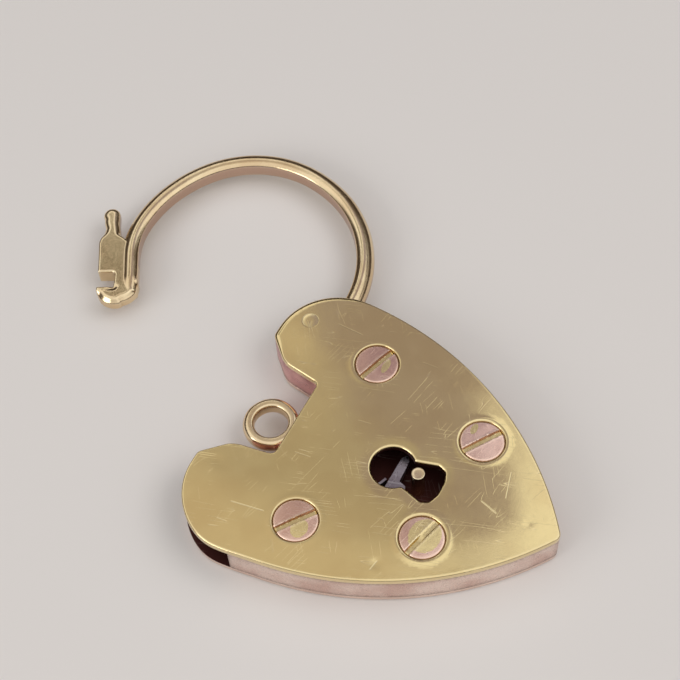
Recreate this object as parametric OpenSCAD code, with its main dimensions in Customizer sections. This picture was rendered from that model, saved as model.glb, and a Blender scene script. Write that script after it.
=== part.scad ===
// Heart-shaped padlock: a flat riveted case, four cover screws, a swinging shackle and a sprung lever.
// Millimetres. The origin is on the drill pin's axis at the outside of the back plate.
// +X is to the right and +Y towards the cleft, seen from the keyhole side; +Z points out of the front.

/* [Case] */
// Thickness of the whole case
case_t = 2.7; // [2.5:0.1:3.2]
// Thickness of the front plate and of the back plate
plate_t = 0.45; // [0.4:0.05:0.5]
// Thickness of the side walls
wall_t = 0.45; // [0.35:0.05:0.5]
// Height of the lobe centres above the drill pin
lobe_y = 8.1; // [7.9:0.1:8.2]
// Distance of each lobe centre from the middle
lobe_x = 5.2; // [5.1:0.05:5.3]
// Radius of the two lobes
lobe_r = 3.9; // [3.8:0.05:4.0]
// Radius of the long side curves
side_r = 20.3; // [20:0.1:22]
// How far the left shoulder stands out beyond the right one
shoulder = 0.15; // [0:0.05:0.2]
// Rounding of the point
tip_r = 0.5; // [0.46:0.01:0.6]
// Half width of the cleft at its floor
cleft_half = 2.66; // [2.5:0.01:2.8]
// Height of the cleft floor above the drill pin
cleft_y = 7.97; // [7.9:0.01:8.1]
// Height at which both wall slots end
slot_end_y = 7.4; // [7.2:0.1:7.6]

/* [Keyhole] */
// Radius of the round part of the keyhole
keyhole_r = 1.3; // [1.2:0.05:1.35]
// Height of the round part above the drill pin
keyhole_y = 1.45; // [1.4:0.05:1.5]
// Distance of the keyhole's middle line from the drill pin
keyhole_x = -0.3; // [-0.3:0.05:0]
// Radius of the drill pin
pin_r = 0.4; // [0.35:0.05:0.42]

/* [Screws] */
// Radius of the screw heads
head_r = 1.3; // [1.2:0.01:1.32]
// Width of the screw slots
slot_w = 0.3; // [0.2:0.05:0.4]
// Depth of the screw slots
slot_d = 0.2; // [0.1:0.05:0.3]
// Radius of the screw shanks
shank_r = 0.45; // [0.4:0.05:0.5]
// Radius of the threaded pillars
pillar_r = 0.85; // [0.75:0.05:0.85]

/* [Shackle] */
// Radius of the bow's middle line
bow_r = 7.65; // [7.5:0.05:7.8]
// Width of the bow's section across the bow
wire_w = 1.15; // [1.05:0.05:1.2]
// Height of the bow's section
wire_h = 1.3; // [1.2:0.05:1.4]
// Radius of the hinge rivet
rivet_r = 0.5; // [0.4:0.05:0.5]
// Radial clearance of every turning fit
fit = 0.04; // [0.02:0.01:0.06]
// Thickness of the hook plate
hook_t = 1.1; // [0.9:0.05:1.2]

/* [Chain ring] */
// Inner radius of the chain ring
ring_in = 1; // [0.95:0.01:1.1]
// Outer radius of the chain ring
ring_out = 1.7; // [1.65:0.01:1.75]

/* [Hidden] */
$fn = 96;
step = 4;                                   // angle between the points of a drawn arc
over = 0.1;                                 // how far a cutting shape runs past a face

inner_z = plate_t;                          // inner face of the back plate
cover_z = case_t - plate_t;                 // inner face of the front plate
mid_z = case_t / 2;
cavity_h = case_t - 2 * plate_t;
top_y = lobe_y + lobe_r;
side_x = side_r - lobe_x - lobe_r;          // middle of the opposite side's long curve

crest = [4.5, top_y];                       // where a lobe's top turns down into the cleft
knee = [3.05, 10.5];                        // where that slope steepens
crest_r = 0.5;
knee_r = 1.6;
cleft_r = 0.35;

shoulder_y = 5.5;                           // the left shoulder starts to stand out here
slot_x_left = -4.9;                         // the left wall slot starts here on the lobe's top
slot_x_right = 5.5;                         // and the right one here

screw_names = ["ul", "ur", "ll", "lr"];
screw_at = [[-5.77, 4.79], [5.43, 5.44], [-3.49, -1.97], [3.51, -2.38]];
screw_turn = [-37, -19.5, -16, -34.5];      // direction of each slot
countersink_in = 0.9;                       // head radius under the plate
head_gap = 0.01;                            // around each head
shank_gap = 0.02;                           // around each shank
pillar_floor = 0.15;                        // left between a shank and the back plate

rivet_at = [6.35, 10.5];
eye_r = 1.15;
eye_h = 1.6;
bow_at = [9.55, 16.85];                     // middle of the open bow
bow_from = -96;                             // the bow's arc starts here, by the case
bow_to = 112;                               // and ends here, where the straight run starts
run_l = 2.9;                                // length of the straight run into the hook
section_r = wire_h / 2;                     // the bow's section is a circle cut flat inside

hook_at = [3.25, 22.9];                     // local origin of the hook plate
hook_turn = 28;                             // and its direction
hook_end = [0.3, 0.05];                     // middle of the hook's round end
hook_end_r = 1.18;
hook_back = -0.9;                           // the hook's inner edge where it meets the bow
notch_from = 0.32;
notch_to = 1.45;
notch_floor = 0.13;
finger_at = [6.1, 0.74];                    // middle of the finger's round tip
finger_r = 0.55;

chain_at = [-0.47, 9.48];
chain_t = 0.9;

lever_at = [-5.9, 0.85];
post_r = 0.5;
hub_r = 0.9;
lever_z = 1.05;
lever_t = 0.6;
spacer_r = 0.85;
stud_at = [-2.6, 5.2];
stud_r = 0.35;
spring_t = 0.14;
spring_r = 3.4;                             // curve of the leaf spring
spring_from = 176;
spring_to = 252;
spring_drop = 0.25;                         // how far the curve's middle lies below the stud
spring_gap = 0.02;                          // between the spring and its stud

gold = [0.80, 0.66, 0.40];
rose = [0.72, 0.56, 0.48];
steel = [0.45, 0.44, 0.46];

// ---- outline helpers ----

// Points of an arc about c from angle a to angle b, ends included.
function arc(c, r, a, b) =
    let (n = max(2, ceil(abs(b - a) / step)))
    [for (i = [0:n]) c + r * [cos(a + (b - a) * i / n), sin(a + (b - a) * i / n)]];

function unit(v) = v / norm(v);
function left_of(v) = [-v[1], v[0]];
function cross_z(u, v) = u[0] * v[1] - u[1] * v[0];

// The corner b between a and c, moved inwards by d from both of its edges.
function moved(a, b, c, d) =
    let (m = left_of(unit(b - a)), n = left_of(unit(c - b)))
    b + d * (m + n) / (1 + m * n);

// The corner b between a and c, rounded with radius r.
function rounded(a, b, c, r) =
    let (u = unit(a - b), v = unit(c - b), half = acos(u * v) / 2,
         m = b + unit(u + v) * r / sin(half),
         p = b + u * r / tan(half) - m, turn = sign(cross_z(-u, v)) * (180 - 2 * half),
         from = atan2(p[1], p[0]))
    arc(m, r, from, from + turn);

// Right half of the heart, from the point up to the cleft floor, drawn d inside the outer edge.
function heart_half(d) =
    let (far = side_r - tip_r,
         lean = acos(side_x / far),
         tip = [0, lobe_y - sqrt(far * far - side_x * side_x)],
         corners = [[lobe_x, top_y], crest, knee, [cleft_half, cleft_y], [0, cleft_y]],
         c = moved(corners[0], corners[1], corners[2], d),
         k = moved(corners[1], corners[2], corners[3], d),
         f = moved(corners[2], corners[3], corners[4], d),
         start = [lobe_x, top_y - d],
         end = [0, cleft_y - d])
    concat([tip - [0, tip_r - d]],
           arc(tip, tip_r - d, -90 + step, -lean - step / 2),
           arc([-side_x, lobe_y], side_r - d, -lean, 0),
           arc([lobe_x, lobe_y], lobe_r - d, step, 90),
           rounded(start, c, k, max(crest_r - d, 0.05)),
           rounded(c, k, f, max(knee_r - d, 0.05)),
           rounded(k, f, end, cleft_r + d));

// The mirror image of a point, with the left shoulder's extra width.
function mirrored(p) =
    let (beyond = max(0, p[0] - lobe_x) / lobe_r,
         rise = min(max((p[1] - shoulder_y) / (top_y - shoulder_y), 0), 1))
    [-p[0] - shoulder * beyond * pow(sin(180 * rise), 2), p[1]];

module heart(d = 0) {
    right = heart_half(d);
    left = [for (i = [len(right) - 1:-1:1]) mirrored(right[i])];
    polygon(concat(right, left));
}

module keyhole() {
    wedge = [[-0.8, 0.9], [-0.88, 0.45], [-1.25, -0.9], [-1.05, -1.35], [-0.45, -1.57],
             [0.45, -1.57], [1.05, -1.35], [1.25, -0.9], [0.88, 0.45], [0.8, 0.9]];
    translate([keyhole_x, keyhole_y]) circle(r = keyhole_r);
    translate([keyhole_x, 0]) polygon(wedge);
}

// ---- case ----

module back_plate() {
    color(gold) difference() {
        linear_extrude(plate_t) heart();
        translate([rivet_at[0], rivet_at[1], -over]) cylinder(r = rivet_r, h = plate_t + 2 * over);
        translate([0, 0, plate_t / 2]) cylinder(r = pin_r, h = plate_t);
    }
}

module wall_band() {
    translate([0, 0, inner_z]) linear_extrude(cavity_h) difference() {
        heart();
        heart(wall_t);
    }
}

module side_wall() {
    color(rose) intersection() {
        wall_band();
        translate([-20, slot_end_y - 40, 0]) cube([40, 40, case_t]);
    }
}

module cleft_wall() {
    color(rose) intersection() {
        wall_band();
        translate([slot_x_left, slot_end_y, 0]) cube([slot_x_right - slot_x_left, 10, case_t]);
    }
}

module front_plate() {
    slope = (head_r - countersink_in) / plate_t;
    color(gold) difference() {
        translate([0, 0, cover_z]) linear_extrude(plate_t) heart();
        translate([0, 0, cover_z - over]) linear_extrude(plate_t + 2 * over) keyhole();
        translate([rivet_at[0], rivet_at[1], cover_z - over]) cylinder(r = rivet_r, h = plate_t + 2 * over);
        for (p = screw_at)
            translate([p[0], p[1], cover_z - over])
                cylinder(r1 = countersink_in + head_gap - over * slope,
                         r2 = head_r + head_gap + over * slope, h = plate_t + 2 * over);
    }
}

module cover_screw(i) {
    color(rose) translate([screw_at[i][0], screw_at[i][1], 0]) difference() {
        union() {
            translate([0, 0, cover_z]) cylinder(r1 = countersink_in, r2 = head_r, h = plate_t);
            translate([0, 0, inner_z + pillar_floor + over])
                cylinder(r = shank_r, h = cavity_h - pillar_floor);
        }
        rotate(screw_turn[i]) translate([-2, -slot_w / 2, case_t - slot_d]) cube([4, slot_w, 1]);
    }
}

module screw_pillar(i) {
    color(gold) translate([screw_at[i][0], screw_at[i][1], inner_z]) difference() {
        cylinder(r = pillar_r, h = cavity_h);
        translate([0, 0, pillar_floor]) cylinder(r = shank_r + shank_gap, h = cavity_h);
    }
}

module drill_pin() {
    color(gold) translate([0, 0, plate_t / 2]) cylinder(r = pin_r, h = case_t - plate_t / 2 - over);
}

module hinge_rivet() {
    color(gold) translate([rivet_at[0], rivet_at[1], 0]) cylinder(r = rivet_r, h = case_t);
}

// A ring with a flat inner face, standing on the cleft floor.
module chain_ring() {
    wire_r = chain_t / 2;
    color(gold) difference() {
        translate([chain_at[0], chain_at[1], mid_z]) rotate_extrude() intersection() {
            translate([ring_out - wire_r, 0]) circle(r = wire_r);
            translate([ring_in, -wire_r]) square([chain_t, chain_t]);
        }
        translate([-4, cleft_y - 4, 0]) cube([8, 4, case_t]);
    }
}

// ---- shackle ----

module wire_section() {
    intersection() {
        translate([bow_r + wire_w / 2 - section_r, 0]) circle(r = section_r);
        translate([bow_r - wire_w / 2, -section_r]) square([wire_w, wire_h]);
    }
}

// The bow's arc, a straight run into the hook, and the link from the arc to the hinge eye.
module shackle_bow() {
    foot = bow_at + bow_r * [cos(bow_from), sin(bow_from)];
    link = rivet_at - foot;
    color(gold) difference() {
        union() {
            translate([bow_at[0], bow_at[1], mid_z]) {
                rotate(bow_from) rotate_extrude(angle = bow_to - bow_from) wire_section();
                rotate(bow_to) rotate([-90, 0, 0]) linear_extrude(run_l) wire_section();
            }
            translate([foot[0], foot[1], mid_z - section_r]) rotate(atan2(link[1], link[0]))
                translate([-wire_w / 2, -wire_w / 2, 0]) cube([norm(link) + wire_w / 2, wire_w, wire_h]);
        }
        translate([rivet_at[0], rivet_at[1], 0]) cylinder(r = eye_r, h = case_t);
        translate([hook_at[0], hook_at[1], 0]) rotate(hook_turn) translate(hook_end)
            cylinder(r = hook_end_r, h = case_t);
    }
}

module shackle_eye() {
    color(gold) translate([rivet_at[0], rivet_at[1], mid_z - eye_h / 2]) difference() {
        cylinder(r = eye_r, h = eye_h);
        translate([0, 0, -over]) cylinder(r = rivet_r + fit, h = eye_h + 2 * over);
    }
}

// Sets a flat outline in the hook's own axes and gives it the hook plate's thickness.
module hook_plate() {
    color(gold) translate([hook_at[0], hook_at[1], mid_z - hook_t / 2]) rotate(hook_turn)
        linear_extrude(hook_t) children();
}

// The round end, with one side of the locking notch and its floor.
module shackle_hook() {
    hook_plate() difference() {
        union() {
            translate(hook_end) circle(r = hook_end_r);
            polygon([[hook_end[0], hook_end[1] - hook_end_r], [notch_to, hook_back],
                     [notch_to, notch_floor], [hook_end[0], notch_floor]]);
        }
        translate([notch_from, notch_floor]) square([3, 3]);
    }
}

// The plate outside the bow, with the finger that closes the slot in the case.
module shackle_finger() {
    hook_plate() polygon(concat(
        [[notch_to, -0.5], [3.4, -0.5], [4.1, -0.25], [4.5, 0.05], [5.5, 0.2]],
        arc(finger_at, finger_r, -70, 125),
        [[5.5, 1.18], [5, 1.05], [4.6, 1.12], [4.2, 1.27], [3.8, 1.36], [notch_to, 1.22]]));
}

// ---- lock ----

// Hub, a tail with a step that clears the drill pin, and the upper arm that ends in the nose.
module locking_lever() {
    tail = [[-1.2, 0.32], [-0.65, 0.5], [-0.5, 0.95], [0.9, 1], [1.25, 1.25], [0.9, 1.5], [-5.4, 1.62]];
    arm_in = [[-5.8, 1.95], [-7.3, 4.4], [-7.93, 6.76]];
    nose = [[-7.45, 7.04], [-7.7, 7.47]];
    arm_out = [[-8.3, 7], [-8.3, 6.3], [-8, 4.2]];
    color(steel) translate([0, 0, lever_z]) difference() {
        linear_extrude(lever_t) polygon(concat(arc(lever_at, hub_r, 172, 300), tail, arm_in, nose, arm_out));
        translate([lever_at[0], lever_at[1], -over]) cylinder(r = post_r + fit, h = lever_t + 2 * over);
    }
}

module lever_post() {
    color(steel) translate([lever_at[0], lever_at[1], inner_z]) cylinder(r = post_r, h = cavity_h);
}

module lever_spacer() {
    color(steel) translate([lever_at[0], lever_at[1], inner_z]) difference() {
        cylinder(r = spacer_r, h = lever_z - inner_z - fit);
        translate([0, 0, -over]) cylinder(r = post_r, h = lever_z);
    }
}

module spring_stud() {
    color(steel) translate([stud_at[0], stud_at[1], inner_z]) cylinder(r = stud_r, h = cavity_h);
}

// A curved leaf from the stud down to the lever's tail.
module lever_spring() {
    mid = stud_at + [spring_r - stud_r - spring_gap - spring_t / 2, -spring_drop];
    color(steel) translate([mid[0], mid[1], lever_z]) rotate(spring_from)
        rotate_extrude(angle = spring_to - spring_from)
            translate([spring_r - spring_t / 2, 0]) square([spring_t, lever_t]);
}

back_plate();
side_wall();
cleft_wall();
front_plate();
for (i = [0:3]) {
    cover_screw(i);
    screw_pillar(i);
}
drill_pin();
hinge_rivet();
chain_ring();
shackle_bow();
shackle_eye();
shackle_hook();
shackle_finger();
locking_lever();
lever_post();
lever_spacer();
spring_stud();
lever_spring();
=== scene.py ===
import math

import bpy
import numpy as np
from mathutils import Matrix, Vector, noise
from mathutils.geometry import delaunay_2d_cdt


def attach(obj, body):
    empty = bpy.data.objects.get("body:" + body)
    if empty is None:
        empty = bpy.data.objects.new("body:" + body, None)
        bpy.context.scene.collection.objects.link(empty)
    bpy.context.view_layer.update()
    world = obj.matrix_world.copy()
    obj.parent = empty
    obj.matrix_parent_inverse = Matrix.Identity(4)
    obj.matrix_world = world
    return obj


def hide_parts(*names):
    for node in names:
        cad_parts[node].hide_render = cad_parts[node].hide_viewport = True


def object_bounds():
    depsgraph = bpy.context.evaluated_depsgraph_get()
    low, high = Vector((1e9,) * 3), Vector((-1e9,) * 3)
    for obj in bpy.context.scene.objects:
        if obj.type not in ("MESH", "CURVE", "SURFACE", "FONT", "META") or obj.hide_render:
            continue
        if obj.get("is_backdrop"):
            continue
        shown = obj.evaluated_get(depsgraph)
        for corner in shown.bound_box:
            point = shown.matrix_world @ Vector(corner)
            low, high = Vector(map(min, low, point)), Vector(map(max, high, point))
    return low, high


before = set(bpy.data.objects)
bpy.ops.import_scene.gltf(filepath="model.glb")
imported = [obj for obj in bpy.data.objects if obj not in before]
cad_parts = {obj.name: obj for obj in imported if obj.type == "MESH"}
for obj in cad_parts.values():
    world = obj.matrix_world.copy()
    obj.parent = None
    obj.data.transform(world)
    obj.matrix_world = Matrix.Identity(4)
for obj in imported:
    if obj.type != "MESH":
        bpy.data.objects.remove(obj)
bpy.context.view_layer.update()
MM = 0.001
CASE_TOP, COVER_IN, BACK_IN = 2.7, 2.25, 0.45       # front face, and the inner faces of both plates
FACE = 2.685                                        # middle of the front, a little under the CAD's face
MID = 1.35                                          # half the case's thickness
PIN_R, SEAT_R, HEAD_R, RIVET_R = 0.4, 1.32, 1.295, 0.505
HINGE = (6.35, 10.5)
RING_AT = (-0.47, 9.48)
CARD_HEIGHT = 80.0
CAMERA_AT, CAMERA_AIM, CAMERA_ROLL, LENS = (-34.05, -16.33, 75.49), (5.90, 8.20, 2.70), -4.08, 75.88
scene = bpy.context.scene
scene.view_settings.view_transform = "Standard"


# ---------------------------------------------------------------- outlines, in millimetres

def arc(c, r, a, b, step=2.0):
    n = max(2, math.ceil(abs(b - a) / step))
    t = np.radians(np.linspace(a, b, n + 1))
    return np.c_[c[0] + r * np.cos(t), c[1] + r * np.sin(t)]


def unit(v):
    return v / np.linalg.norm(v)


def rounded(a, b, c, r):
    """The corner b between a and c as an arc of radius r."""
    a, b, c = map(np.asarray, (a, b, c))
    u, v = unit(a - b), unit(c - b)
    half = math.acos(float(u @ v)) / 2
    m = b + unit(u + v) * r / math.sin(half)
    p = b + u * r / math.tan(half) - m
    start = math.degrees(math.atan2(p[1], p[0]))
    side = -u[0] * v[1] + u[1] * v[0]
    turn = math.copysign(180 - 2 * math.degrees(half), side)
    return arc(m, r, start, start + turn, 4)


def resample(loop, step):
    """A closed loop with its points evenly spaced."""
    p = np.vstack([loop, loop[:1]])
    s = np.r_[0, np.cumsum(np.linalg.norm(np.diff(p, axis=0), axis=1))]
    n = int(round(s[-1] / step))
    t = np.linspace(0, s[-1], n, endpoint=False)
    return np.c_[np.interp(t, s, p[:, 0]), np.interp(t, s, p[:, 1])]


def inward(loop):
    """Unit normals pointing to the left of a closed loop's direction."""
    d = np.roll(loop, -1, 0) - np.roll(loop, 1, 0)
    d /= np.linalg.norm(d, axis=1)[:, None]
    return np.c_[-d[:, 1], d[:, 0]]


def heart():
    """The case's outline, anticlockwise from the point."""
    lobe, lobe_r, side_r, tip_r, cleft = np.array([5.2, 8.1]), 3.9, 20.3, 0.5, 7.97
    side_x = side_r - lobe[0] - lobe_r
    far = side_r - tip_r
    lean = math.degrees(math.acos(side_x / far))
    tip = (0, lobe[1] - math.sqrt(far * far - side_x * side_x))
    corners = [(5.2, 12.0), (4.5, 12.0), (3.05, 10.5), (2.66, cleft), (0, cleft)]
    right = np.vstack([
        [(0, tip[1] - tip_r)],
        arc(tip, tip_r, -86, -lean - 2, 4),
        arc((-side_x, lobe[1]), side_r, -lean, 0, 0.5),
        arc(lobe, lobe_r, 2, 90),
        rounded(*corners[0:3], 0.5),
        rounded(*corners[1:4], 1.6),
        rounded(*corners[2:5], 0.35),
    ])
    left = right[:0:-1] * (-1, 1)
    rise = np.clip((left[:, 1] - 5.5) / 6.5, 0, 1)
    left[:, 0] -= 0.15 * np.maximum(0, -left[:, 0] - lobe[0]) / lobe_r * np.sin(math.pi * rise) ** 2
    return np.vstack([right, left])


def keyhole():
    """A round with a wedge below it, anticlockwise."""
    wedge = np.array([(-0.88, 0.45), (-1.25, -0.9), (-1.05, -1.35), (-0.45, -1.57),
                      (0.45, -1.57), (1.05, -1.35), (1.25, -0.9), (0.88, 0.45)])
    p = np.vstack([arc((0, 1.45), 1.3, -47.8, 227.8), wedge])
    p = resample(p + (-0.3, 0), 0.07)
    for _ in range(2):
        p = p * 0.5 + (np.roll(p, 1, 0) + np.roll(p, -1, 0)) * 0.25
    return p


def distance(points, loop):
    """Each point's distance to a closed loop."""
    a, b = loop, np.roll(loop, -1, 0)
    ab = b - a
    length2 = np.maximum((ab ** 2).sum(1), 1e-12)
    out = np.empty(len(points))
    for i in range(0, len(points), 2000):
        q = points[i:i + 2000, None, :] - a[None]
        t = np.clip((q * ab).sum(2) / length2, 0, 1)
        out[i:i + 2000] = np.sqrt(((q - t[..., None] * ab) ** 2).sum(2).min(1))
    return out


def inside(points, loop):
    """Which points lie within a closed loop."""
    a, b = loop, np.roll(loop, -1, 0)
    hits = np.zeros(len(points), int)
    for (x0, y0), (x1, y1) in zip(a, b):
        if y0 != y1:
            between = (points[:, 1] >= min(y0, y1)) & (points[:, 1] < max(y0, y1))
            x = x0 + (points[:, 1] - y0) * (x1 - x0) / (y1 - y0)
            hits += between & (points[:, 0] < x)
    return hits % 2 == 1


def smooth(a, b, x):
    t = np.clip((x - a) / (b - a), 0, 1)
    return t * t * (3 - 2 * t)


def rolled(d, a, b):
    """How far a quarter-ellipse edge, a wide and b deep, has dropped at distance d from the outline."""
    t = np.clip(1 - d / a, 0, 1)
    return b * (1 - np.sqrt(1 - t * t))


def waves(p, size, seed):
    """Smooth noise of about -1 to 1 at each point."""
    return np.array([noise.noise(Vector((x / size, y / size, z / size + seed))) for x, y, z in p])


# ---------------------------------------------------------------- meshes

def piece(name, verts, faces, body, material, stands_for=(), angle=40):
    """A named object from points in millimetres, riding on a CAD body."""
    me = bpy.data.meshes.new(name)
    me.from_pydata((np.asarray(verts) * MM).tolist(), [], [list(map(int, f)) for f in faces])
    me.validate()
    me.update()
    o = bpy.data.objects.new(name, me)
    scene.collection.objects.link(o)
    me.shade_smooth()
    me.set_sharp_from_angle(angle=math.radians(angle))
    me.materials.append(material)
    mark_edges(me)
    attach(o, body)
    if stands_for:
        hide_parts(*stands_for)
    return o


def values(items, key, width, kind=float):
    """One property of all vertices or edges, a row for each."""
    out = np.empty(len(items) * width, kind)
    items.foreach_get(key, out)
    return out.reshape(-1, width)


def mark_edges(me):
    """Stores how far each vertex sticks out (ridge) or lies in a hollow (pit), for the materials' wear and dirt
    and for their painted light: a painted highlight on ridges, painted shade in hollows.
    """
    n = len(me.vertices)
    co, no = values(me.vertices, "co", 3), values(me.vertices, "normal", 3)
    ed = values(me.edges, "vertices", 2, int)
    d = co[ed[:, 0]] - co[ed[:, 1]]
    length = np.maximum(np.linalg.norm(d, axis=1), 1e-9)
    total, count = np.zeros(n), np.zeros(n)
    bend0 = (d * no[ed[:, 0]]).sum(1) / length
    bend1 = -(d * no[ed[:, 1]]).sum(1) / length
    for k, bend in ((0, bend0), (1, bend1)):
        np.add.at(total, ed[:, k], bend)
        np.add.at(count, ed[:, k], 1)
    c = total / np.maximum(count, 1)
    for _ in range(2):
        near, count = c.copy(), np.ones(n)
        for a, b in ((0, 1), (1, 0)):
            np.add.at(near, ed[:, a], c[ed[:, b]])
            np.add.at(count, ed[:, a], 1)
        c = near / count
    for name, value in (("ridge", c), ("pit", -c)):
        at = me.attributes.new(name, "FLOAT", "POINT")
        at.data.foreach_set("value", np.clip(value * 5, 0, 1).astype(np.float32))


def paint(o, name, value):
    """A number for each vertex, read by the materials."""
    at = o.data.attributes.new(name, "FLOAT", "POINT")
    at.data.foreach_set("value", np.asarray(value, np.float32))


def points_of(o):
    return values(o.data.vertices, "co", 3) / MM


def triangulate(points, loops):
    """Triangles between the loops. loops are lists of point numbers, each closed."""
    edges = [(a, b) for l in loops for a, b in zip(l, l[1:] + l[:1])]
    v, _, f, _, _, _ = delaunay_2d_cdt([Vector(p) for p in points], edges, [], 0, 1e-6)
    v, f = np.array([tuple(p) for p in v]), np.array([list(t) for t in f])
    mid = v[f].mean(1)
    keep = inside(mid, points[loops[0]])
    for l in loops[1:]:
        keep &= ~inside(mid, points[l])
    return v, f[keep]


def relief(outer, holes, top, bottom, rings, grid, marks=(), chamfer=0.04, both=False):
    """A flat plate between bottom and top(points, distance to each loop), in millimetres.
    rings are the distances from each outline that get a row of points; marks are extra points.
    With both, the underside mirrors the top about bottom."""
    loops = [outer] + [h[::-1] for h in holes]
    rows, starts, total = [], [], 0
    for l in loops:
        starts.append(list(range(total, total + len(l))))
        total += len(l)
        rows.append(l)
    for l in loops:
        n = inward(l)
        for r in rings:
            q = l + n * r
            ok = inside(q, outer)
            for h in loops[1:]:
                ok &= ~inside(q, h)
            near = np.min([distance(q, m) for m in loops], axis=0)
            rows.append(q[ok & (near > r * 0.93)])
    lo, hi = outer.min(0), outer.max(0)
    xs, ys = np.arange(lo[0], hi[0], grid), np.arange(lo[1], hi[1], grid * 0.866)
    x, y = np.meshgrid(xs, ys)
    x[1::2] += grid / 2
    q = np.c_[x.ravel(), y.ravel()]
    ok = inside(q, outer)
    for h in loops[1:]:
        ok &= ~inside(q, h)
    q = q[ok]
    near = np.min([distance(q, m) for m in loops], axis=0)
    rows.append(q[near > rings[-1] + grid * 0.4])
    rows.extend(np.asarray(m) for m in marks)
    flat, tri = triangulate(np.vstack(rows), starts)
    dist = [distance(flat, m) for m in loops]
    z = top(flat, dist)
    verts = [np.c_[flat, z]]
    faces = [tri]
    count = len(flat)
    if both:
        verts.append(np.c_[flat, 2 * bottom - z])
        faces.append(tri[:, ::-1] + count)
        quads = []
        for s in starts:
            for a, b in zip(s, s[1:] + s[:1]):
                quads.append((b, a, a + count, b + count))
        return np.vstack(verts), [list(f) for g in faces for f in g] + quads
    quads, low, low_loops = [], [], []
    for l, s in zip(loops, starts):
        n = len(l)
        shift = inward(l) * chamfer
        side = np.c_[l, np.full(n, bottom + chamfer)]
        foot = np.c_[l + shift, np.full(n, bottom)]
        base = count
        verts += [side, foot]
        for i in range(n):
            j = (i + 1) % n
            quads.append((s[j], s[i], base + i, base + j))
            quads.append((base + j, base + i, base + n + i, base + n + j))
        low_loops.append(list(range(base + n, base + 2 * n)))
        low.append(foot[:, :2])
        count += 2 * n
    numbers = np.concatenate([np.array(l) for l in low_loops])
    sets, k = [], 0
    for l in low:
        sets.append(list(range(k, k + len(l))))
        k += len(l)
    _, under = triangulate(np.vstack(low), sets)
    faces.append(numbers[under][:, ::-1])
    return np.vstack(verts), [list(f) for g in faces for f in g] + quads


def lathe(profile, centre, turns=96, closed=False, wobble=0.0, seed=0):
    """A turned shape from (radius, height) points; closed profiles make a ring."""
    p = np.asarray(profile, float)
    a = np.linspace(0, 2 * math.pi, turns, endpoint=False)
    r = p[None, :, 0] * np.ones((turns, 1))
    z = p[None, :, 1] * np.ones((turns, 1))
    if wobble:
        flat = np.c_[np.cos(a), np.sin(a), np.zeros(turns)]
        r = r * (1 + wobble * waves(flat, 0.6, seed)[:, None])
    v = np.stack([centre[0] + r * np.cos(a)[:, None], centre[1] + r * np.sin(a)[:, None],
                  centre[2] + z], 2).reshape(-1, 3)
    m, faces = len(p), []
    for i in range(turns):
        j = (i + 1) % turns
        for k in range(m if closed else m - 1):
            n = (k + 1) % m
            faces.append((i * m + k, j * m + k, j * m + n, i * m + n))
    if not closed:
        faces.append([i * m for i in range(turns)][::-1])
        faces.append([i * m + m - 1 for i in range(turns)])
    return v, faces


def sweep(path, across, up, profile):
    """A closed profile carried along a path; across and up are the profile's axes at each point."""
    m = len(profile)
    v = np.vstack([p + profile[:, :1] * a + profile[:, 1:] * u for p, a, u in zip(path, across, up)])
    faces = []
    for i in range(len(path) - 1):
        for k in range(m):
            n = (k + 1) % m
            faces.append((i * m + k, i * m + n, (i + 1) * m + n, (i + 1) * m + k))
    faces.append(list(range(m))[::-1])
    faces.append([(len(path) - 1) * m + k for k in range(m)])
    return v, faces


def fused(parts, voxel, rounds):
    """Several closed meshes melted into one skin, then smoothed."""
    verts, faces, k = [], [], 0
    for v, f in parts:
        verts.append(v)
        faces += [[int(i) + k for i in t] for t in f]
        k += len(v)
    me = bpy.data.meshes.new("melt")
    me.from_pydata(np.vstack(verts).tolist(), [], faces)
    o = bpy.data.objects.new("melt", me)
    scene.collection.objects.link(o)
    m = o.modifiers.new("remesh", "REMESH")
    m.mode, m.voxel_size, m.adaptivity = "VOXEL", voxel, 0.0
    done = bpy.data.meshes.new_from_object(o.evaluated_get(bpy.context.evaluated_depsgraph_get()))
    n = len(done.vertices)
    co, ed = values(done.vertices, "co", 3), values(done.edges, "vertices", 2, int)
    polygons = [list(p.vertices) for p in done.polygons]
    bpy.data.objects.remove(o)
    bpy.data.meshes.remove(me)
    bpy.data.meshes.remove(done)
    count = np.bincount(ed.ravel(), minlength=n)[:, None]
    for step in range(rounds * 2):
        near = np.zeros_like(co)
        np.add.at(near, ed[:, 0], co[ed[:, 1]])
        np.add.at(near, ed[:, 1], co[ed[:, 0]])
        co = co + (0.55 if step % 2 == 0 else -0.57) * (near / count - co)
    return co, polygons


# ---------------------------------------------------------------- materials

def node(tree, kind, inputs=(), **settings):
    n = tree.nodes.new(kind)
    for k, v in settings.items():
        setattr(n, k, v)
    for k, v in dict(inputs).items():
        if isinstance(v, bpy.types.NodeSocket):
            tree.links.new(v, n.inputs[k])
        else:
            n.inputs[k].default_value = v
    return n


def calc(tree, how, a, b=0.0, clamp=False):
    return node(tree, "ShaderNodeMath", {0: a, 1: b}, operation=how, use_clamp=clamp).outputs[0]


def span(tree, value, low, high, to_low=0.0, to_high=1.0):
    return node(tree, "ShaderNodeMapRange", {0: value, 1: low, 2: high, 3: to_low, 4: to_high},
                interpolation_type="SMOOTHSTEP").outputs[0]


def blend(tree, amount, a, b):
    return node(tree, "ShaderNodeMix", {0: amount, 6: a, 7: b}, data_type="RGBA").outputs[2]


def cloud(tree, where, scale, detail=2.0, rough=0.5, seed=0.0):
    moved = node(tree, "ShaderNodeVectorMath", {0: where, 1: (seed, seed * 1.7, seed * 0.6)}, operation="ADD")
    return node(tree, "ShaderNodeTexNoise", {"Vector": moved.outputs[0], "Scale": scale, "Detail": detail,
                                             "Roughness": rough}).outputs[0]


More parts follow.
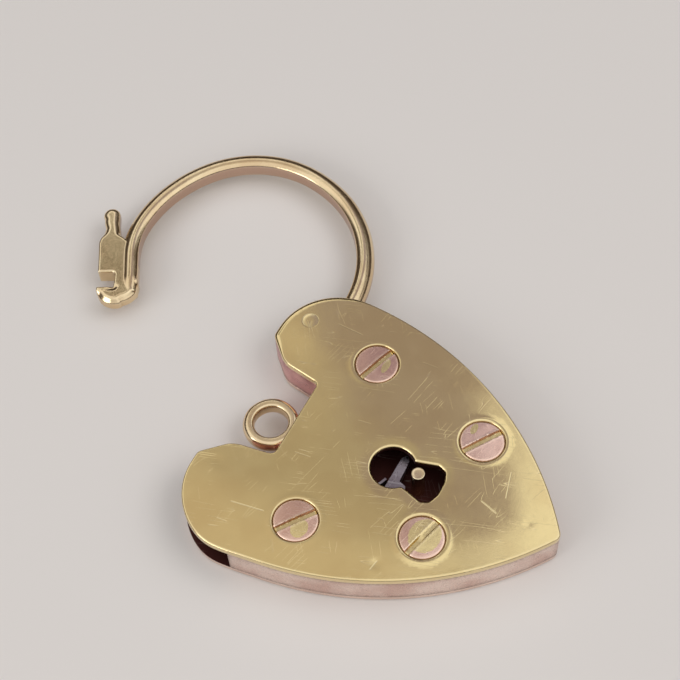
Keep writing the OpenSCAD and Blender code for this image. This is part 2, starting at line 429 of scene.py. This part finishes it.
def hairlines(tree, where, turn, length, width, thin, seed, cover):
    """Fine broken lines in one direction, 0 to 1."""
    turned = node(tree, "ShaderNodeVectorRotate", {"Vector": where, "Angle": math.radians(turn)},
                  rotation_type="Z_AXIS").outputs[0]
    pulled = node(tree, "ShaderNodeVectorMath", {0: turned, 1: (1 / length, 1 / width, 1 / width)},
                  operation="MULTIPLY").outputs[0]
    value = cloud(tree, pulled, 1.0, 0.0, 0.5, seed)
    line = calc(tree, "ABSOLUTE", calc(tree, "SUBTRACT", value, 0.5))
    line = span(tree, line, 0.0, thin, 1.0, 0.0)
    patch = span(tree, cloud(tree, where, 0.7, 1.0, 0.5, seed + 9), 0.62 - cover, 0.72 - cover)
    return calc(tree, "MULTIPLY", line, patch)


def stroke(tree, where, a, b, width):
    """A single line from a to b on the front, 0 to 1."""
    a, b = Vector((*a, 0)), Vector((*b, 0))
    d = b - a
    flat = node(tree, "ShaderNodeVectorMath", {0: where, 1: (1, 1, 0)}, operation="MULTIPLY").outputs[0]
    rel = node(tree, "ShaderNodeVectorMath", {0: flat, 1: a}, operation="SUBTRACT").outputs[0]
    t = node(tree, "ShaderNodeVectorMath", {0: rel, 1: d / d.length_squared},
             operation="DOT_PRODUCT").outputs["Value"]
    t = calc(tree, "MINIMUM", calc(tree, "MAXIMUM", t, 0.0), 1.0)
    along = node(tree, "ShaderNodeVectorMath", {0: d}, operation="SCALE")
    tree.links.new(t, along.inputs["Scale"])
    gap = node(tree, "ShaderNodeVectorMath", {0: rel, 1: along.outputs[0]},
               operation="DISTANCE").outputs["Value"]
    return span(tree, gap, width * 0.3, width, 1.0, 0.0)


DARK = (0.085, 0.028, 0.024)                        # the tarnished inside of the case
# The colour of the hollows: partly dirt, partly painted shade.
DIRT_AND_SHADE = (0.09, 0.045, 0.03)
HAIRLINES = ((14, 4.0, 0.35, 0.010, 11, 0.08), (-38, 5.0, 0.45, 0.008, 23, 0.06))


def metal(name, base, deep, bright, rough, scratch=0.6, grain=0.3, ripple=0.5, strokes=(), tinted=None,
          edges=True):
    """Old worn metal: base colour drifting to deep, bright on ridges (partly wear, partly a painted highlight),
    dark in hollows (partly dirt, partly painted shade), with fine scratches.
    Where the painted tint is 1 the colour turns to tinted."""
    m = bpy.data.materials.new(name)
    m.use_nodes = True
    t = m.node_tree
    t.nodes.clear()
    place = node(t, "ShaderNodeTexCoord").outputs["Object"]
    where = node(t, "ShaderNodeVectorMath", {0: place, 1: (1000, 1000, 1000)},
                 operation="MULTIPLY").outputs[0]
    broad = cloud(t, where, 0.35, 2.0, 0.55, 3.1)
    fine = cloud(t, where, 5.0, 3.0, 0.6, 7.7)
    dust = cloud(t, where, 22.0, 2.0, 0.6, 1.3)
    lines = calc(t, "MULTIPLY", hairlines(t, where, 72, 6.0, 0.40, 0.012, 2.0, 0.12), 0.55)
    for line in HAIRLINES:
        more = calc(t, "MULTIPLY", hairlines(t, where, *line), 0.4)
        lines = calc(t, "MAXIMUM", lines, more)
    for a, b, width, depth in strokes:
        lines = calc(t, "MAXIMUM", lines, calc(t, "MULTIPLY", stroke(t, where, a, b, width), depth))
    colour = blend(t, span(t, broad, 0.35, 0.65), (*base, 1), (*deep, 1))
    colour = blend(t, span(t, fine, 0.45, 0.8, 0.0, 0.25), colour, (*deep, 1))
    if tinted:
        patch = node(t, "ShaderNodeAttribute", attribute_name="tint").outputs["Fac"]
        edge = calc(t, "ADD", patch, calc(t, "MULTIPLY", calc(t, "SUBTRACT", fine, 0.5), 0.5))
        tint = span(t, edge, 0.35, 0.6)
        colour = blend(t, tint, colour, (*tinted, 1))
    colour = blend(t, calc(t, "MULTIPLY", lines, 0.45 * scratch), colour, (*bright, 1))
    roughness = calc(t, "ADD", span(t, fine, 0.3, 0.7, rough * 0.85, rough * 1.2),
                     calc(t, "MULTIPLY", lines, 0.16 * scratch))
    if tinted == DARK:
        roughness = calc(t, "ADD", roughness, calc(t, "MULTIPLY", tint, 0.4))
    if edges:
        ridge = node(t, "ShaderNodeAttribute", attribute_name="ridge").outputs["Fac"]
        pit = node(t, "ShaderNodeAttribute", attribute_name="pit").outputs["Fac"]
        # Ridges turn pale: partly wear, partly a painted highlight along every edge.
        worn = calc(t, "MULTIPLY", ridge, span(t, fine, 0.25, 0.6, 0.5, 1.0))
        colour = blend(t, calc(t, "MULTIPLY", worn, 0.6), colour, (*bright, 1))
        # Hollows turn dark and rough: partly dirt, partly painted shade in every crease.
        dirt_and_shade = calc(t, "MULTIPLY", pit, span(t, fine, 0.3, 0.65, 0.5, 1.0))
        colour = blend(t, calc(t, "MULTIPLY", dirt_and_shade, 0.8), colour, (*DIRT_AND_SHADE, 1))
        roughness = calc(t, "ADD", roughness, calc(t, "MULTIPLY", dirt_and_shade, 0.25))
    height = calc(t, "MULTIPLY", lines, -1.0 * scratch)
    height = calc(t, "ADD", height, calc(t, "MULTIPLY", dust, grain))
    height = calc(t, "ADD", height, calc(t, "MULTIPLY", fine, grain * 0.8))
    bump = node(t, "ShaderNodeBump", {"Height": height, "Strength": 0.55, "Distance": 0.000012})
    swell = cloud(t, where, 0.8, 1.0, 0.5, 17.0)
    bump2 = node(t, "ShaderNodeBump", {"Height": swell, "Strength": ripple, "Distance": 0.00003,
                                       "Normal": bump.outputs[0]})
    shader = node(t, "ShaderNodeBsdfPrincipled", {"Base Color": colour, "Metallic": 1.0,
                                                  "Roughness": roughness, "Normal": bump2.outputs[0]})
    out = node(t, "ShaderNodeOutputMaterial")
    t.links.new(shader.outputs[0], out.inputs[0])
    return m


YELLOW, TAN, PALE = (0.83, 0.655, 0.335), (0.78, 0.60, 0.30), (0.95, 0.86, 0.62)
PINK = (0.95, 0.84, 0.74)
# The front's longest scratches: both ends, width and depth.
scratches = [
    ((-6.4, 8.6), (-6.1, 6.7), 0.045, 1.0), ((-2.0, 6.9), (-1.9, 6.0), 0.03, 0.8),
    ((-1.75, 6.8), (-1.65, 6.2), 0.025, 0.7), ((6.9, 8.8), (6.85, 7.2), 0.04, 0.8),
    ((0.0, -4.0), (-0.3, -5.0), 0.05, 0.8), ((0.8, -5.1), (2.4, -4.7), 0.04, 0.9),
    ((-7.65, 8.8), (-7.6, 8.2), 0.03, 0.7), ((6.75, 3.0), (6.78, 2.1), 0.03, 0.7),
    ((-6.5, -0.3), (-5.9, -0.4), 0.05, 0.9), ((1.5, 4.6), (1.6, 3.9), 0.03, 0.6)]
gold_face = metal("gold_face", YELLOW, TAN, PALE, 0.105, 0.7, 0.12, 0.05, scratches, DARK)
gold_cast = metal("gold_cast", (0.82, 0.65, 0.42), (0.72, 0.53, 0.32), PALE, 0.17, 0.5, 0.3, 0.25)
# gold_bow's tinted brown is painted shade under the bow's outer side and, with some tarnish, on its inner wall.
gold_bow = metal("gold_bow", (0.84, 0.67, 0.43), (0.72, 0.53, 0.32), PALE, 0.15, 0.5, 0.3, 0.2,
                 tinted=(0.55, 0.38, 0.29))
rose_back = metal("rose_back", (0.86, 0.66, 0.56), (0.76, 0.54, 0.45), PINK, 0.20, 0.8, 0.3, 0.2, tinted=DARK)
rose_wall = metal("rose_wall", (0.88, 0.72, 0.64), (0.70, 0.49, 0.42), PINK, 0.24, 0.8, 0.5, 0.3, tinted=DARK)
rose_cleft = metal("rose_cleft", (0.86, 0.51, 0.48), (0.64, 0.34, 0.34), (0.95, 0.74, 0.66), 0.30, 0.8, 0.8, 0.5,
                   tinted=DARK)
rose_screw = metal("rose_screw", (0.90, 0.62, 0.52), (0.70, 0.44, 0.36), (0.97, 0.84, 0.66), 0.22, 0.8, 0.7, 0.6,
                   tinted=(0.80, 0.64, 0.33))
steel = metal("steel", (0.34, 0.31, 0.35), (0.15, 0.11, 0.13), (0.70, 0.69, 0.72), 0.30, 0.9, 0.8, 0.6,
              edges=False)
inner = metal("inner", (0.30, 0.19, 0.13), (0.16, 0.08, 0.06), (0.5, 0.35, 0.25), 0.45, 0.6, 0.8, 0.6,
              edges=False)

# ---------------------------------------------------------------- case

outline = resample(heart(), 0.12)
hole = keyhole()
# Each screw's middle and the direction of its slot.
screws = {"ul": (-5.77, 4.79, -37.0), "ur": (5.43, 5.44, -19.5),
          "ll": (-3.49, -1.97, -16.0), "lr": (3.51, -2.38, -34.5)}
seats = [resample(arc((x, y), SEAT_R, 0, 360)[:-1], 0.085) for x, y, _ in screws.values()]
rivet = resample(arc(HINGE, RIVET_R, 0, 360)[:-1], 0.06)


def dome(p, edge):
    """The front's height away from its edges and holes."""
    flat = np.c_[p, np.zeros(len(p))]
    swell = 0.003 * waves(flat, 3.5, 4.0)
    return FACE - 0.02 * (1 - smooth(0.0, 2.6, edge)) + swell + 0.0008 * waves(flat, 1.1, 9.0)


SEAT_LIPS = (0.006, 0.008, 0.014, 0.022)            # how far the metal stands up round each screw
DENTS = ((-0.1, -6.9, 0.09, 0.03), (-6.1, -0.4, 0.22, 0.012), (-4.5, 10.6, 0.3, 0.008),
         (-1.9, 1.2, 0.55, 0.012), (1.4, 0.1, 0.5, 0.012), (7.3, 3.0, 0.5, 0.006))


def face_height(p, dist):
    """The front: domed towards its rim, rolled at every edge, with dents and the lips round the screws."""
    x, y = p.T
    edge, key, seat, pin = dist[0], dist[1], dist[2:6], dist[6]
    lobe = smooth(3.2, 4.6, x) * smooth(7.5, 9.5, y)
    z = dome(p, edge) - rolled(edge, 0.1 + 0.2 * lobe, 0.12 + 0.06 * lobe)
    z -= rolled(key, 0.13, 0.13) + 0.02 * (1 - smooth(0.0, 0.7, key))
    for d, lip in zip(seat, SEAT_LIPS):
        z -= rolled(d, 0.09, 0.08)
        z += lip * np.exp(-((d - 0.2) / 0.12) ** 2)
    z -= rolled(pin, 0.02, 0.005)
    for cx, cy, r, deep in DENTS:
        z -= deep * np.exp(-((x - cx) ** 2 + (y - cy) ** 2) / r ** 2)
    return np.minimum(z, CASE_TOP)


edge_rows = [0.006, 0.025, 0.055, 0.09, 0.135, 0.2, 0.3, 0.42]
v, f = relief(outline, [hole] + seats + [rivet], face_height, COVER_IN, edge_rows, 0.2)
front = piece("front_cover", v, f, "case", gold_face, ["front_plate"])


def back_height(p, dist):
    """The back, made face up and turned over below."""
    edge, pin = dist
    return BACK_IN - 0.03 * (1 - smooth(0.0, 2.0, edge)) - rolled(edge, 0.14, 0.15) - rolled(pin, 0.05, 0.03)


v, f = relief(outline, [rivet], back_height, 0.0, edge_rows, 0.35, chamfer=0.004)
v = v * (1, 1, -1) + (0, 0, BACK_IN)
f = [t[::-1] for t in f]
back = piece("back_cover", v, f, "case", rose_back, ["back_plate"])
# The plates' inner faces are tarnished and have no pale edges: neither wear nor painted highlight.
for o, low, high, rim in ((front, 0.0, 2.55, 0.03), (back, 0.44, 1.0, 0.002)):
    q = points_of(o)
    dark = (q[:, 2] > low) & (q[:, 2] < high) & (distance(q[:, :2], outline) > rim)
    paint(o, "tint", dark)
    for i in np.nonzero(dark)[0]:
        o.data.attributes["ridge"].data[int(i)].value = 0.0


def wall(name, keep, node_name, material):
    """A band of the case's wall, as the run of outline points that keep() picks."""
    n = inward(outline)
    ok = keep(outline)
    first = next(i for i in range(len(outline)) if ok[i] and not ok[i - 1])
    order = [(first + i) % len(outline) for i in range(len(outline))]
    run = [i for i in order if ok[i]]
    profile = np.array([(0.006, 0.451), (0.0, 0.5), (0.0, 0.8), (0.0, 1.1), (0.0, 1.6), (0.0, 1.95),
                        (0.004, 2.14), (0.02, 2.2), (0.05, 2.235), (0.09, COVER_IN), (0.43, COVER_IN),
                        (0.43, 1.65), (0.43, 1.05), (0.43, BACK_IN)])
    pts = np.c_[outline[run], np.zeros(len(run))]
    across = np.c_[n[run], np.zeros(len(run))]
    up = np.tile((0, 0, 1.0), (len(run), 1))
    v, f = sweep(pts, across, up, profile)
    v += 0.004 * np.c_[waves(v, 2.5, 1), waves(v, 2.5, 5), np.zeros(len(v))]
    o = piece(name, v, f, "case", material, [node_name], 50)
    paint(o, "tint", distance(points_of(o)[:, :2], outline) > 0.3)


wall("side_band", lambda p: p[:, 1] <= 7.4, "side_wall", rose_wall)
wall("cleft_band", lambda p: (p[:, 1] > 7.4) & (p[:, 0] > -4.9) & (p[:, 0] < 5.5), "cleft_wall", rose_cleft)

# ---------------------------------------------------------------- screws, pin, rivet, chain ring

# Patches of each screw head polished to yellow: middle and radii.
polish = {"ul": ((-0.35, -0.42, 0.62, 0.5),), "ur": ((0.1, -0.55, 0.55, 0.22),),
          "ll": ((0.15, -0.1, 1.1, 0.95),), "lr": ((0.5, 0.75, 0.4, 0.2),)}
for key, (sx, sy, turn) in screws.items():
    a = math.radians(turn)
    along, cross = np.array((math.cos(a), math.sin(a))), np.array((-math.sin(a), math.cos(a)))
    proud = 0.03 if key == "lr" else 0.005
    worn = 0.5 if key == "ll" else 0.0

    def head(p, dist, along=along, cross=cross, proud=proud, worn=worn, key=key):
        """A crowned head with a ragged slot, worn half away on one screw."""
        u, w = p @ along, p @ cross
        z = FACE + proud - 0.02 - 0.025 * (u * u + w * w) / 1.69 - rolled(dist[0], 0.1, 0.07)
        wide = 0.15 + 0.02 * waves(np.c_[p * 0.4, np.zeros(len(p))], 0.5, 3)
        groove = 1 - smooth(wide - 0.035, wide + 0.03, np.abs(w))
        if key == "ll":
            groove *= 1 - 0.75 * smooth(-0.35, 0.1, u)
        z -= groove * 0.17
        lipped = np.exp(-((np.abs(w) - 0.21) / 0.05) ** 2) * 0.01 * (1 - worn)
        return np.minimum(z + lipped + 0.004 * waves(np.c_[p, np.zeros(len(p))], 0.5, sx), CASE_TOP)

    rim = resample(arc((0, 0), HEAD_R, 0, 360)[:-1], 0.07)
    slot_rows = [np.array([along * s + cross * w for s in np.arange(-1.2, 1.21, 0.06)])
                 for w in (-0.19, -0.165, -0.14, -0.115, 0.115, 0.14, 0.165, 0.19)]
    v, f = relief(rim, [], head, COVER_IN, [0.006, 0.025, 0.05, 0.085, 0.13], 0.085, slot_rows)
    o = piece("screw_head_" + key, v + (sx, sy, 0), f, "case", rose_screw, ["screw_" + key], 50)
    q = points_of(o)[:, :2] - (sx, sy)
    value = 0.9 * (1 - smooth(0.1, 0.16, np.abs(q @ cross)))
    for cx, cy, rx, ry in polish[key]:
        value = np.maximum(value, 1 - smooth(0.7, 1.2, np.hypot((q[:, 0] - cx) / rx, (q[:, 1] - cy) / ry)))
    paint(o, "tint", np.clip(value, 0, 1))

v, f = lathe([(0.001, 0.23), (PIN_R, 0.23), (PIN_R, 2.52), (0.393, 2.57), (0.37, 2.595), (0.34, 2.6),
              (0.3, 2.59), (0.2, 2.584), (0.001, 2.583)], (0, 0, 0), 48)
piece("pin", v, f, "case", gold_cast, ["drill_pin"])
v, f = lathe([(0.001, 0.0), (0.42, 0.005), (0.48, 0.03), (0.5, 0.08), (0.5, 2.65), (0.492, 2.66),
              (0.47, 2.663), (0.2, 2.664), (0.001, 2.664)], (*HINGE, 0), 48)
high = v[:, 2] > 2.6
v[high, 2] += dome(v[high, :2], distance(v[high, :2], outline)) - FACE + 0.0175
piece("rivet", v, f, "case", gold_face, ["hinge_rivet"])

# The chain ring: round outside, nearly flat inside, with a lump of solder at each foot.
t = np.linspace(0, 2 * math.pi, 28, endpoint=False)
ct, st = np.cos(t), np.sin(t)
section = np.c_[1.35 + 0.35 * np.sign(ct) * np.abs(ct) ** np.where(ct < 0, 0.35, 0.95),
                0.45 * np.sign(st) * np.abs(st) ** 0.95]
ring = lathe(section, (*RING_AT, MID), 120, True, 0.012, 2)
solder = []
for side in (-0.95, 0.95):
    solder.append(lathe([(0.001, -0.3), (0.2, -0.25), (0.33, -0.12), (0.36, 0.0), (0.33, 0.12), (0.2, 0.25),
                         (0.001, 0.3)], (RING_AT[0] + side, 8.02, MID), 24))
v, f = fused([ring] + solder, 0.045, 4)
piece("ring_for_chain", v, f, "case", gold_cast, ["chain_ring"], 180)

# ---------------------------------------------------------------- shackle

# The bow is four arcs, each leaving the one before it without a kink: radii, and the angles where they meet.
BOW_R, TURNS = (8.35, 6.85, 8.65, 6.0), (-94, -8, 52, 92, 121)


def wire():
    """The bow's section, outwards and upwards: round outside, flat inside with soft corners."""
    a = np.radians(np.linspace(-125, 125, 32))
    p = np.c_[0.65 * np.cos(a) - 0.075, 0.65 * np.sin(a)]
    p = p[p[:, 0] > -0.5]
    flat = np.array([(-0.545, 0.45), (-0.57, 0.38), (-0.575, 0.2), (-0.575, 0.0), (-0.575, -0.2),
                     (-0.57, -0.38), (-0.545, -0.45)])
    return np.vstack([p, flat])


def direction(a):
    """The unit vector at a degrees."""
    return np.array((math.cos(math.radians(a)), math.sin(math.radians(a))))


middle, path, radial = np.array((8.84, 17.44)), [], []
for i, r in enumerate(BOW_R):
    if i:
        middle = middle + (BOW_R[i - 1] - r) * direction(TURNS[i])
    for a in np.arange(TURNS[i], TURNS[i + 1] + (i == 3), 1.5):
        path.append([*(middle + r * direction(a)), MID])
        radial.append([*direction(a), 0])
path, radial = np.array(path), np.array(radial)
end, out = path[-1], radial[-1]
ahead = np.array((-out[1], out[0], 0))
straight = np.array([end + ahead * s for s in np.arange(0.15, 2.9, 0.15)])
path = np.vstack([path, straight])
radial = np.vstack([radial, np.tile(out, (len(straight), 1))])
up = np.tile((0, 0, 1.0), (len(path), 1))
fade = smooth(len(path) - 8, len(path) - 1, np.arange(len(path)))[:, None]
v, f = sweep(path, radial * (1 - 0.1 * fade), up * (1 - 0.14 * fade), wire())
v += 0.012 * np.c_[waves(v, 2.2, 3), waves(v, 2.2, 8), waves(v, 2.2, 14)]
bow = (v, f)

# The link from the bow's start to the hinge eye, and the eye.
foot = path[0]
eye = np.array((*HINGE, MID))
way = unit(eye - foot)
side = np.array((-way[1], way[0], 0))
square = np.array([(-0.57, -0.5), (-0.45, -0.64), (0.45, -0.64), (0.57, -0.5), (0.57, 0.5), (0.45, 0.64),
                   (-0.45, 0.64), (-0.57, 0.5)])
link = sweep(np.array([foot - way * 0.3, eye - way * 0.8]), [side] * 2, [np.array((0, 0, 1.0))] * 2, square)
knuckle = lathe([(0.55, -0.8), (1.06, -0.8), (1.14, -0.72), (1.14, 0.72), (1.06, 0.8), (0.55, 0.8)],
                (*HINGE, MID), 64, True)


HOOK_AT, HOOK_TURN = (3.25, 22.9), 28               # the hook's own axes


def hook_outline():
    """The hook's round end, its notch, the plate and the finger, anticlockwise in the hook's own axes."""
    a0 = math.degrees(math.acos(0.02 / 1.18))
    return np.vstack([
        arc((0.3, 0.05), 1.18, a0, 200, 3),
        arc((0.5, -0.2), 1.2, 190, 295, 6),
        [(1.6, -1.1), (2.4, -0.9), (3.4, -0.7), (4.1, -0.3), (4.5, 0.05), (5.5, 0.2)],
        arc((6.1, 0.74), 0.55, -70, 125, 5),
        [(5.5, 1.18), (5.0, 1.05), (4.6, 1.12), (4.2, 1.27), (3.8, 1.36), (3.0, 1.31), (1.45, 1.22),
         (1.45, 0.25), (1.33, 0.13), (0.32, 0.13)],
    ])


def hook_height(p, dist):
    """A flat plate whose finger is rounded and whose round end slopes down."""
    u, w = p.T
    d = dist[0]
    reach = smooth(3.9, 4.7, u)
    z = MID + 0.55 - rolled(d, 0.07 + 0.3 * reach, 0.07 + 0.26 * reach)
    slope = (1 - smooth(0.0, 0.34, d)) * (1 - smooth(0.0, 0.5, u + 0.3 * w))
    return z - 0.25 * slope


hook_loop = resample(hook_outline(), 0.06)
v, f = relief(hook_loop, [], hook_height, MID, [0.01, 0.03, 0.06, 0.1, 0.16, 0.24, 0.34, 0.44], 0.09,
              both=True)
c, s = direction(HOOK_TURN)
v = np.c_[HOOK_AT[0] + v[:, 0] * c - v[:, 1] * s, HOOK_AT[1] + v[:, 0] * s + v[:, 1] * c, v[:, 2]]
hook = (v, f)

v, f = fused([bow, link, knuckle, hook], 0.06, 3)
o = piece("shackle", v, f, "shackle", gold_bow,
          ["shackle_bow", "shackle_eye", "shackle_hook", "shackle_finger"], 180)
# Brown on the bow's flat inner wall, partly tarnish and partly painted shade, and under its outer side, painted
# shade where it would reflect the shadowed floor.
nearest = ((v[:, None, :2] - path[None, :, :2]) ** 2).sum(2).argmin(1)
side_of = ((v - path[nearest]) * radial[nearest]).sum(1)
inner_wall = (1 - smooth(-0.56, -0.5, side_of)) * (np.abs(v[:, 2] - MID) < 0.42) * (nearest < len(path) - 14)
outer_shade = smooth(0.25, 0.4, side_of) * (1 - smooth(0.05, 0.25, v[:, 2] - MID)) * (nearest < len(path) - 20)
paint(o, "tint", np.maximum(inner_wall, outer_shade))

# ---------------------------------------------------------------- what stays as the CAD made it: the lock inside

inside_lock = [("locking_lever", steel), ("lever_post", steel), ("lever_spacer", steel), ("lever_spring", steel),
               ("spring_stud", steel), ("pillar_ul", inner), ("pillar_ur", inner), ("pillar_ll", inner),
               ("pillar_lr", inner)]
for name, material in inside_lock:
    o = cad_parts[name]
    for s in o.material_slots:
        s.material = material
    if not o.material_slots:
        o.data.materials.append(material)
    if name != "lever_spring":
        b = o.modifiers.new("worn_edges", "BEVEL")
        b.width, b.segments, b.limit_method, b.angle_limit = 0.00004, 2, "ANGLE", math.radians(40)

# ---------------------------------------------------------------- floor, lights, camera


def plane(name, corner, size, material):
    me = bpy.data.meshes.new(name)
    (x, y, z), (w, h) = corner, size
    me.from_pydata([(a * MM, b * MM, z * MM) for a, b in ((x, y), (x + w, y), (x + w, y + h), (x, y + h))],
                   [], [(0, 1, 2, 3)])
    me.materials.append(material)
    o = bpy.data.objects.new(name, me)
    scene.collection.objects.link(o)
    o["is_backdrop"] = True
    return o


ground = bpy.data.materials.new("pale_floor")
ground.use_nodes = True
matt = ground.node_tree.nodes["Principled BSDF"].inputs
matt["Base Color"].default_value = (0.80, 0.765, 0.745, 1)
matt["Roughness"].default_value = 0.85
matt["Specular IOR Level"].default_value = 0.15
plane("floor", (-700, -700, -0.004), (1400, 1400), ground)

# The sky is bright above and dark near the horizon, most of all towards the far right.
world = bpy.data.worlds.new("studio")
scene.world = world
world.use_nodes = True
wt = world.node_tree
sky = node(wt, "ShaderNodeTexCoord").outputs["Generated"]
rise = node(wt, "ShaderNodeSeparateXYZ", {0: sky}).outputs["Z"]
side = node(wt, "ShaderNodeVectorMath", {0: sky, 1: (0.8, 0.6, 0.0)},
            operation="DOT_PRODUCT").outputs["Value"]
rise = calc(wt, "SUBTRACT", rise, calc(wt, "MULTIPLY", calc(wt, "MAXIMUM", side, 0.0), 0.5))
tone = blend(wt, span(wt, rise, 0.15, 0.5), (0.07, 0.055, 0.045, 1), (0.74, 0.73, 0.72, 1))
wt.links.new(tone, wt.nodes["Background"].inputs["Color"])


def softbox(name, place, aim, size, power):
    lamp = bpy.data.lights.new(name, "AREA")
    lamp.shape, lamp.size, lamp.size_y = "RECTANGLE", size[0] * MM, size[1] * MM
    lamp.energy, lamp.color = power, (1.0, 0.985, 0.96)
    o = bpy.data.objects.new(name, lamp)
    o.location = Vector(place) * MM
    o.rotation_mode = "QUATERNION"
    o.rotation_quaternion = (Vector(aim) - Vector(place)).to_track_quat("-Z", "Y")
    scene.collection.objects.link(o)


softbox("window", (-190, 110, 120), (3, 8, 0), (150, 110), 0.13)
softbox("ceiling", (60, -170, 240), (3, 8, 0), (220, 140), 0.16)

# A card above the object, seen only in its polish: warm to the left and by the cleft, dim in the middle,
# bright below the point, on the far left and beyond the bow, dull over the hook plate, dark far right.
step = 1.25
gx, gy = np.meshgrid(np.arange(-70, 110, step), np.arange(-90, 110, step))
flat = np.c_[gx.ravel(), gy.ravel()]
x, y = flat.T
bowl = np.minimum(3.4 + np.where(x < 34, (x - 34) ** 2 / 17.0, (x - 34) ** 2 / 27.0), 14.5)
bright = smooth(0.6, -0.6, y - bowl)
dim = smooth(-4.0, 3.0, x - (30 + (y - 8) * 0.48 + np.maximum(y - 32, 0) * 0.6))
warm = np.maximum(smooth(32.0, 18.0, x), 0.9 * np.exp(-((x - 44) ** 2 + (y - 41) ** 2) / 60))
over = smooth(12.0, 2.0, x)
plate = smooth(14.0, 8.0, np.hypot(x - 46, y - 67))
beyond = smooth(44.0, 52.0, y + 0.15 * (x - 50)) * (1 - plate)
far = smooth(80.0, 92.0, x)
level = np.array((0.47, 0.445, 0.41)) + warm[:, None] * (0.17, 0.145, 0.11)
for amount, shade in ((dim, (0.38, 0.345, 0.385)), (bright, (1.0, 1.02, 1.02)),
                      (over, (0.95, 0.94, 0.92)), (beyond, (1.0, 0.99, 0.95)),
                      (plate, (0.24, 0.22, 0.17)), (far, (0.10, 0.08, 0.07))):
    level = level * (1 - amount[:, None]) + np.array(shade) * amount[:, None]
rows, cols = gx.shape
quads = [(r * cols + k, r * cols + k + 1, (r + 1) * cols + k + 1, (r + 1) * cols + k)
         for r in range(rows - 1) for k in range(cols - 1)]
me = bpy.data.meshes.new("sky_card")
me.from_pydata((np.c_[flat, np.full(len(flat), CARD_HEIGHT)] * MM).tolist(), [], quads)
tone = me.color_attributes.new("tone", "FLOAT_COLOR", "POINT")
tone.data.foreach_set("color", np.c_[level, np.ones(len(level))].astype(np.float32).ravel())
glow = bpy.data.materials.new("card_glow")
glow.use_nodes = True
gt = glow.node_tree
gt.nodes.clear()
colour = node(gt, "ShaderNodeAttribute", attribute_name="tone").outputs["Color"]
lit = node(gt, "ShaderNodeEmission", {"Color": colour, "Strength": 1.0})
gt.links.new(lit.outputs[0], node(gt, "ShaderNodeOutputMaterial").inputs[0])
me.materials.append(glow)
card = bpy.data.objects.new("sky_card", me)
scene.collection.objects.link(card)
card.visible_camera = card.visible_diffuse = card.visible_shadow = card.visible_transmission = False
card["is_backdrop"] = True

lens = bpy.data.cameras.new("camera")
lens.sensor_width, lens.lens = 36.0, LENS
lens.clip_start, lens.clip_end = 0.005, 5.0
camera = bpy.data.objects.new("camera", lens)
scene.collection.objects.link(camera)
back_v = (Vector(CAMERA_AT) - Vector(CAMERA_AIM)).normalized()
up0 = (Vector((0, 0, 1)) - back_v * back_v.z).normalized()
right0 = up0.cross(back_v)
roll = math.radians(CAMERA_ROLL)
right = right0 * math.cos(roll) + up0 * math.sin(roll)
top = back_v.cross(right)
camera.matrix_world = Matrix([(right[i], top[i], back_v[i], CAMERA_AT[i] * MM) for i in range(3)]
                             + [(0, 0, 0, 1)])
scene.camera = camera

low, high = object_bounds()
